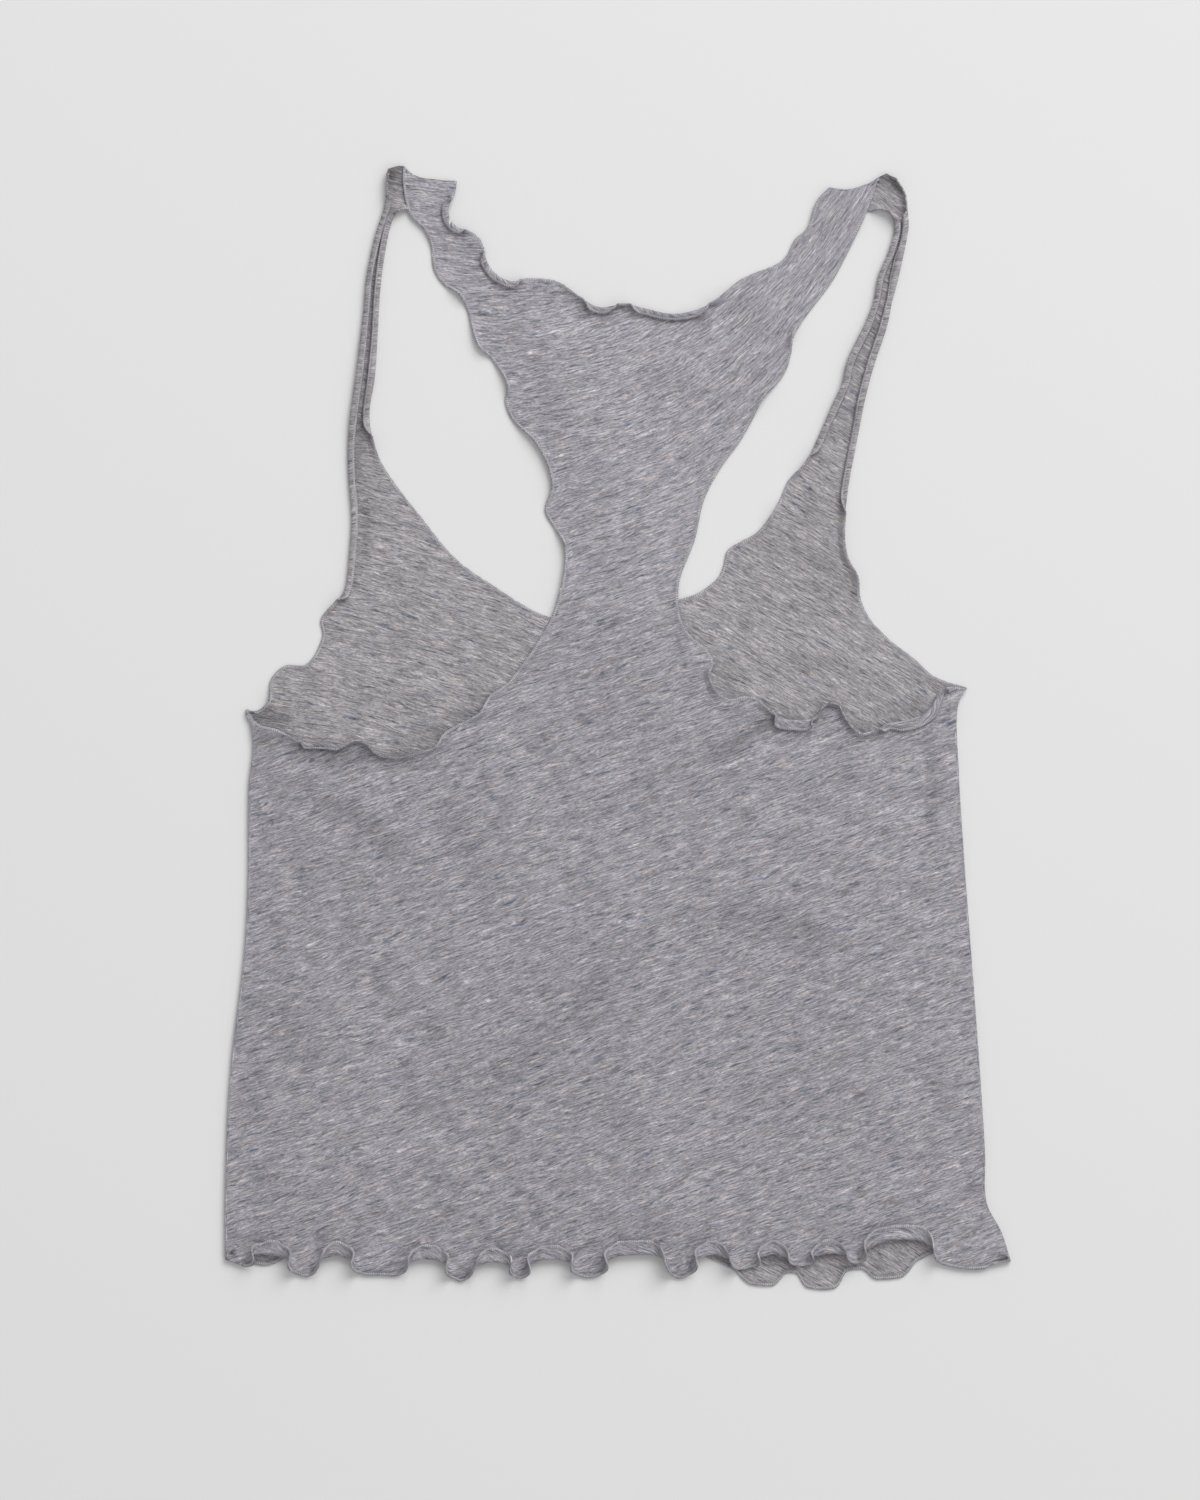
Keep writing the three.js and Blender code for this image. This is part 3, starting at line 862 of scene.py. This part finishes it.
def make_panel(name, edges, level, yarn, creases, painted_light_share):
    """The cloth of a panel, with thickness, and the bead along each of its rolled edges.

    The last argument is 1 for the panel that lies alone above the ONE_LAYER stretch, which is painted
    lighter there (painted light for the pale surface showing through), and 0 for the other.
    """
    sampled = [edge.samples() for edge in edges]
    points, lies, inset = (np.concatenate(part) for part in zip(*sampled))
    counts = [len(edge_points) for edge_points, _, _ in sampled]
    groove_strength = np.concatenate([np.full(n, edge.pull) for n, edge in zip(counts, edges)])
    normals = outward_normals(points)
    loop = points - normals * inset[:, None]
    base = level(loop, np.zeros(len(loop)))
    flat, faces, inner = fill(loop)
    vertices = [np.column_stack([flat, level(flat, distances(point_tree(loop), flat))])]
    cut = [flat]
    pull = [np.zeros(len(flat))]
    total = len(flat)
    for row in range(1, BAND_ROWS + 1):
        along = lies[:, 0] * (row / BAND_ROWS)
        place, sway = band_place(loop, normals, lies, base, along)
        vertices.append(place)
        cut.append(loop + normals * along[:, None] + sway)
        # Painted shade: a dark line on the cloth beside the bead, for the shade of the groove where the
        # bead sits on it.
        off_bead = lies[:, 0] - along - BEAD_WIDTH
        pull.append(groove_strength * np.exp(-(((off_bead - GROOVE_SHADE_GAP) / GROOVE_SHADE_WIDTH) ** 2)))
        outer = list(range(total, total + len(loop)))
        total += len(loop)
        faces.extend(zip(inner, outer, outer[1:] + outer[:1], inner[1:] + inner[:1]))
        inner = outer
    vertices, cut, pull = np.vstack(vertices), np.vstack(cut), np.concatenate(pull)
    attributes = {
        "painted_groove_shade": pull,
        # Painted light: the back is made lighter where it lies alone, for the pale surface showing through
        # it.
        "painted_light_through": painted_light_share * smooth(vertices[:, 1], *ONE_LAYER),
        # Painted shade: the cloth is darker down the valleys of creases.
        "painted_valley_shade": valley_depth(vertices[:, :2], creases),
    }
    cloth = mesh_object(name, vertices, faces, yarn(cut), attributes)
    add_thickness(cloth, JERSEY)
    beads = []
    start = 0
    for edge, n in zip(edges, counts):
        part = slice(start, start + n)
        start += n
        if edge.rolled:
            bead_name = f"{name}_{edge.name}_bead"
            beads.append(make_bead(bead_name, loop[part], normals[part], lies[part], base[part]))
    return cloth, beads


def make_bead(name, loop, normals, lies, base):
    """The rolled edge itself: an oval roll of cloth and thread along the end of the band."""
    width, half = lies[:, 0], BEAD_WIDTH / 2
    middle, _ = band_place(loop, normals, lies, base, width - half)
    edge, _ = band_place(loop, normals, lies, base, width)
    across = edge - middle
    across /= np.linalg.norm(across, axis=1, keepdims=True)
    run = np.gradient(middle, axis=0)
    run -= across * np.sum(run * across, axis=1, keepdims=True)
    run /= np.linalg.norm(run, axis=1, keepdims=True)
    lift = np.cross(across, run)
    n = len(loop)
    from_end = np.minimum(np.arange(n), np.arange(n)[::-1])
    taper = np.minimum(1, from_end / TAPER_RINGS + TAPER_SHARE)[:, None]
    length = np.insert(np.cumsum(np.linalg.norm(np.diff(middle, axis=0), axis=1)), 0, 0)
    rings, uv = [], []
    for k in range(BEAD_SIDES):
        angle = 2 * np.pi * k / BEAD_SIDES
        rings.append(
            middle
            + across * (half * np.cos(angle) * taper)
            + lift * (BEAD_HEIGHT / 2 * np.sin(angle) * taper)
        )
        uv.append(np.column_stack([length, np.full(n, BEAD_WIDTH * k / BEAD_SIDES)]))
    vertices = np.stack(rings, axis=1).reshape(-1, 3)
    uv = np.stack(uv, axis=1).reshape(-1, 2)
    return mesh_object(name, vertices, tube_faces(n), uv, {})


def make_seam(name, rows):
    """The turned edge that joins the panels: an oval strip of cloth that takes in both edges."""
    path, _ = spline(rows, SEAM_STEP)
    run = np.gradient(path, axis=0)
    run /= np.linalg.norm(run, axis=1, keepdims=True)
    outward = np.column_stack([run[:, 1], -run[:, 0]])
    path = path - outward * SEAM_INSET
    none = np.zeros(len(path))
    low, high = front_level(path, none), back_level(path, none)
    middle, half = (low + high) / 2, (high - low) / 2 + JERSEY * SEAM_COVER
    rings = []
    for k in range(BEAD_SIDES):
        angle = 2 * np.pi * k / BEAD_SIDES
        xy = path + outward * (SEAM_WIDTH / 2 * np.cos(angle))
        rings.append(np.column_stack([xy, middle + half * np.sin(angle)]))
    length = np.arange(len(path)) * SEAM_STEP
    around = np.arange(BEAD_SIDES) * SEAM_WIDTH / BEAD_SIDES
    uv = np.stack(np.broadcast_arrays(length[:, None], around[None]), axis=2).reshape(-1, 2)
    vertices = np.stack(rings, axis=1).reshape(-1, 3)
    return mesh_object(name, vertices, tube_faces(len(path)), uv, {})


def tube_faces(n):
    """The quads of a tube of n rings, and its two ends."""
    faces = []
    for i in range(n - 1):
        for k in range(BEAD_SIDES):
            m = (k + 1) % BEAD_SIDES
            a, b = i * BEAD_SIDES, (i + 1) * BEAD_SIDES
            faces.append((a + k, a + m, b + m, b + k))
    faces.append(tuple(range(BEAD_SIDES))[::-1])
    faces.append(tuple((n - 1) * BEAD_SIDES + k for k in range(BEAD_SIDES)))
    return faces


def mesh_object(name, vertices, faces, uv, attributes):
    """A smooth mesh in the frame. vertices and uv are in millimetres of the tables."""
    mesh = bpy.data.meshes.new(name)
    mesh.from_pydata(((vertices + TABLE_ORIGIN) * MM).tolist(), [], faces)
    layer = mesh.uv_layers.new(name="yarn")
    corner_vertex = np.empty(len(mesh.loops), int)
    mesh.loops.foreach_get("vertex_index", corner_vertex)
    layer.data.foreach_set("uv", (uv[corner_vertex] / UV_UNIT).ravel())
    for key, values in attributes.items():
        mesh.attributes.new(key, "FLOAT", "POINT").data.foreach_set("value", values)
    mesh.shade_smooth()
    obj = bpy.data.objects.new(name, mesh)
    bpy.context.collection.objects.link(obj)
    return obj


def add_thickness(obj, thickness):
    solid = obj.modifiers.new("thickness", "SOLIDIFY")
    solid.thickness = thickness * MM
    solid.offset = 0
    solid.use_rim = True


# Materials
SLATE = (0.112, 0.14, 0.2)
GREY = (0.352, 0.342, 0.374)
BEIGE = (0.58, 0.515, 0.51)
WRONG_SIDE_GREY = (0.368, 0.351, 0.368)
THREAD = (0.585, 0.57, 0.59)
THREAD_DARK = (0.29, 0.288, 0.31)
FLOOR_TONE = (0.85, 0.85, 0.85)

# The noise that the heather is made of: how long and how tall its features are in millimetres, what
# part of the noise it takes, its detail and its roughness.
HEATHER = {
    "dashes": (8, 0.8, 3, 3, 0.62),
    "clouds": (20, 3.2, 5, 2, 0.6),
    "dark": (12, 1.6, 7, 3, 0.6),
    "light": (13, 1.7, 13, 3, 0.6),
    "grain": (2.2, 0.5, 17, 1, 0.7),
    "blotch": (22, 7, 29, 2, 0.5),
}
# Flecks: the noise from which they start, that at which they are full, and how strong they are then.
LIGHT_FLECKS = (0.48, 0.72, 0.62)
DARK_FLECKS = (0.53, 0.72, 0.78)
# The shade is the product of these layers, each times its first number plus its second. The heather layers
# vary the tone at random; the last three are painted light where the back lies alone, painted shade in the
# valleys of creases, and painted shade beside each bead.
SHADES = {
    "dashes": (2.5, -0.25),
    "grain": (1.5, 0.25),
    "patch": (0.2, 0.9),
    "clouds": (0.7, 0.65),
    "blotch": (0.5, 0.75),
    "painted_light_through": (0.08, 1.0),
    "painted_valley_shade": (-0.07, 1.0),
    "painted_groove_shade": (-0.5, 1.0),
}
PATCH_SCALE = (9, 9, 9)
# The yarn's lines wander: over this length and height in millimetres, and by this share of UV_UNIT.
WANDER_SIZE = (26, 8)
WANDER = 0.05
GRAIN_BUMP = 0.7

# Thread of the rolled edge: how far its turns slant, and the size of that and of its tones.
TURN_SLANT = 2.4
SLANT_SIZE = (7, 30)
TONE_SIZE = (5, 1.5)


class Nodes:
    """A material's node tree, with short ways to add and join nodes."""

    def __init__(self, name):
        self.material = bpy.data.materials.new(name)
        self.material.use_nodes = True
        self.tree = self.material.node_tree
        self.shader = self.tree.nodes["Principled BSDF"]

    def add(self, kind, inputs=None, **settings):
        node = self.tree.nodes.new(kind)
        for key, value in settings.items():
            setattr(node, key, value)
        for key, value in (inputs or {}).items():
            self.put(value, node.inputs[key])
        return node

    def put(self, value, socket):
        if isinstance(value, bpy.types.NodeSocket):
            self.tree.links.new(value, socket)
        else:
            socket.default_value = value

    def math(self, operation, first, second=0.0):
        return self.add("ShaderNodeMath", {0: first, 1: second}, operation=operation).outputs[0]

    def mix(self, share, first, second, blend="MIX"):
        node = self.add("ShaderNodeMix", data_type="RGBA", blend_type=blend)
        self.put(share, node.inputs[0])
        self.put(first, node.inputs[6])
        self.put(second, node.inputs[7])
        return node.outputs[2]

    def linear(self, value, gain, offset):
        return self.math("ADD", self.math("MULTIPLY", value, gain), offset)

    def ramp(self, value, low, high):
        """0 at low, 1 at high, smooth between."""
        node = self.add("ShaderNodeMapRange", interpolation_type="SMOOTHSTEP")
        self.put(value, node.inputs["Value"])
        node.inputs["From Min"].default_value = low
        node.inputs["From Max"].default_value = high
        return node.outputs[0]

    def noise(self, vector, detail=2.0, roughness=0.5):
        inputs = {"Vector": vector, "Scale": 1.0, "Detail": detail, "Roughness": roughness}
        return self.add("ShaderNodeTexNoise", inputs).outputs["Fac"]

    def scaled(self, vector, scale, location=(0, 0, 0)):
        inputs = {"Vector": vector, "Scale": scale, "Location": location}
        return self.add("ShaderNodeMapping", inputs).outputs[0]

    def finish(self, base, height, depth, surface):
        """Join the colour and the bump to the shader, and set its other sockets."""
        bump = self.add("ShaderNodeBump", {"Height": height, "Strength": 0.5, "Distance": depth})
        self.put(base, self.shader.inputs["Base Color"])
        self.put(bump.outputs[0], self.shader.inputs["Normal"])
        for key, value in surface.items():
            self.shader.inputs[key].default_value = value
        return self.material


def colour(values):
    return (*values, 1.0)


def per_mm(along, across):
    """The texture scale for features of this length and height in millimetres."""
    return (UV_UNIT / along, UV_UNIT / across, 1)


def jersey(name, grey, seed):
    """Single jersey knitted from heather yarn: dark and light flecks drawn out along the yarn."""
    n = Nodes(name)
    yarn = n.add("ShaderNodeUVMap", uv_map="yarn").outputs[0]
    place = n.add("ShaderNodeTexCoord").outputs["Object"]
    wander = n.noise(n.scaled(yarn, per_mm(*WANDER_SIZE), (seed, 0, 0)))
    wander = n.math("MULTIPLY", n.math("SUBTRACT", wander, 0.5), WANDER)
    drift = n.add("ShaderNodeCombineXYZ", {"Y": wander}).outputs[0]
    lain = n.add("ShaderNodeVectorMath", {0: yarn, 1: drift}, operation="ADD").outputs[0]
    layers = {"patch": n.noise(n.scaled(place, PATCH_SCALE, (seed, 0, 0)))}
    for key, (along, across, part, detail, roughness) in HEATHER.items():
        spot = n.scaled(lain, per_mm(along, across), (seed, part, 0))
        layers[key] = n.noise(spot, detail, roughness)
    # Attributes of the cloth that carry painted light and painted shade.
    for key in ("painted_light_through", "painted_valley_shade", "painted_groove_shade"):
        layers[key] = n.add("ShaderNodeAttribute", attribute_name=key).outputs["Fac"]
    base = colour(grey)
    for key, fleck, (low, high, strength) in (
        ("light", BEIGE, LIGHT_FLECKS),
        ("dark", SLATE, DARK_FLECKS),
    ):
        share = n.math("MULTIPLY", n.ramp(layers[key], low, high), strength)
        base = n.mix(share, base, colour(fleck))
    shade = 1.0
    for key, (gain, offset) in SHADES.items():
        shade = n.math("MULTIPLY", shade, n.linear(layers[key], gain, offset))
    tint = n.add("ShaderNodeCombineColor", {0: shade, 1: shade, 2: shade}).outputs[0]
    base = n.mix(1.0, base, tint, "MULTIPLY")
    bumps = n.math("ADD", layers["dashes"], n.math("MULTIPLY", layers["grain"], GRAIN_BUMP))
    surface = {
        "Roughness": 0.93,
        "Specular IOR Level": 0.25,
        "Sheen Weight": 0.1,
        "Sheen Roughness": 0.45,
    }
    return n.finish(base, bumps, 0.0004, surface)


def stitched_edge(name):
    """Thread wrapped round the rolled edge: close turns, a little uneven, with cloth between."""
    n = Nodes(name)
    run = n.add("ShaderNodeUVMap", uv_map="yarn").outputs[0]
    slant = n.noise(n.scaled(run, per_mm(*SLANT_SIZE)))
    split = n.add("ShaderNodeSeparateXYZ", {0: run})
    turns = n.math("MULTIPLY", split.outputs["X"], UV_UNIT / STITCH_PITCH)
    turns = n.math("ADD", turns, n.math("MULTIPLY", slant, TURN_SLANT))
    phase = n.math("MULTIPLY", turns, 2 * np.pi)
    wave = n.linear(n.math("SINE", phase), 0.5, 0.5)
    tone = n.noise(n.scaled(run, per_mm(*TONE_SIZE)), 2, 0.6)
    thread_tone = n.mix(n.ramp(tone, 0.3, 0.7), colour(THREAD), colour(GREY))
    base = n.mix(n.ramp(wave, 0.05, 0.55), colour(THREAD_DARK), thread_tone)
    surface = {"Roughness": 0.7, "Specular IOR Level": 0.35, "Sheen Weight": 0.12}
    return n.finish(base, wave, 0.0003, surface)


def plain_floor(name):
    n = Nodes(name)
    n.shader.inputs["Base Color"].default_value = colour(FLOOR_TONE)
    n.shader.inputs["Roughness"].default_value = 0.9
    n.shader.inputs["Specular IOR Level"].default_value = 0.1
    return n.material


def declare(cloth, beads, seams, materials, node):
    """Give a panel's cloth, beads and seams their materials, put them under the root body, and hide the
    panel's part from model.glb.
    """
    for pieces, material in zip(([cloth], beads, seams), materials):
        for piece in pieces:
            piece.data.materials.append(material)
            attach(piece, "root")
    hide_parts(node)


def make_floor():
    """A pale surface just under the cloth."""
    mesh = bpy.data.meshes.new("floor")
    half = FLOOR_HALF
    corners = [(-half, -half, 0), (half, -half, 0), (half, half, 0), (-half, half, 0)]
    mesh.from_pydata(corners, [], [(0, 1, 2, 3)])
    mesh.materials.append(plain_floor("pale_floor"))
    floor = bpy.data.objects.new("floor", mesh)
    floor.location.z = -FLOOR_DROP
    bpy.context.collection.objects.link(floor)


def make_light(name, place, size, power):
    """A soft square light that faces the middle of the cloth."""
    data = bpy.data.lights.new(name, "AREA")
    data.size, data.energy = size, power
    light = bpy.data.objects.new(name, data)
    light.location = place
    x, y, z = place
    light.rotation_euler = (np.arctan2(np.hypot(x, y), z), 0, np.arctan2(y, x) + np.pi / 2)
    bpy.context.collection.objects.link(light)


right_side = jersey("heather_jersey_right_side", GREY, 0.0)
wrong_side = jersey("heather_jersey_wrong_side", WRONG_SIDE_GREY, 5.0)
thread = stitched_edge("edge_thread")

front_cloth, front_beads = make_panel(
    "front_panel_cloth",
    [
        Edge("hem", FRONT_HEM, hem=True),
        Edge("right_seam", RIGHT_SEAM, rolled=False),
        Edge("right_armhole", FRONT_RIGHT_ARMHOLE),
        Edge("right_shoulder", FRONT_RIGHT_SHOULDER, rolled=False),
        Edge("neck", FRONT_NECK),
        Edge("left_shoulder", FRONT_LEFT_SHOULDER, rolled=False),
        Edge("left_armhole", FRONT_LEFT_ARMHOLE),
        Edge("left_seam", LEFT_SEAM, rolled=False),
    ],
    front_level,
    yarn_front,
    FRONT_CREASES,
    painted_light_share=0,
)
back_cloth, back_beads = make_panel(
    "back_panel_cloth",
    [
        Edge("hem", BACK_HEM, flips=BACK_HEM_FLIPS, hem=True),
        Edge("right_seam", RIGHT_SEAM, rolled=False),
        Edge("right_armhole", BACK_RIGHT_ARMHOLE),
        Edge("right_shoulder", BACK_RIGHT_SHOULDER, rolled=False),
        Edge("neck", BACK_NECK),
        Edge("left_shoulder", BACK_LEFT_SHOULDER, rolled=False),
        Edge("left_armhole", BACK_LEFT_ARMHOLE),
        Edge("left_seam", LEFT_SEAM, rolled=False),
    ],
    back_level,
    yarn_back,
    BACK_CREASES,
    painted_light_share=1,
)
seams = [
    make_seam("left_side_seam", LEFT_SEAM),
    make_seam("right_side_seam", RIGHT_SEAM),
    make_seam("left_shoulder_seam", BACK_LEFT_SHOULDER),
    make_seam("right_shoulder_seam", BACK_RIGHT_SHOULDER),
]
front_materials = (wrong_side, thread, right_side)
back_materials = (right_side, thread, right_side)
declare(front_cloth, front_beads, [], front_materials, "front_panel")
declare(back_cloth, back_beads, seams, back_materials, "back_panel")

make_floor()
for light_name, (place, width, power) in LIGHTS.items():
    make_light(light_name, place, width, power)

world = bpy.data.worlds.new("studio")
world.use_nodes = True
background = world.node_tree.nodes["Background"]
background.inputs["Color"].default_value = (1, 1, 1, 1)
background.inputs["Strength"].default_value = WORLD_LIGHT
bpy.context.scene.world = world
bpy.context.scene.view_settings.view_transform = "Standard"
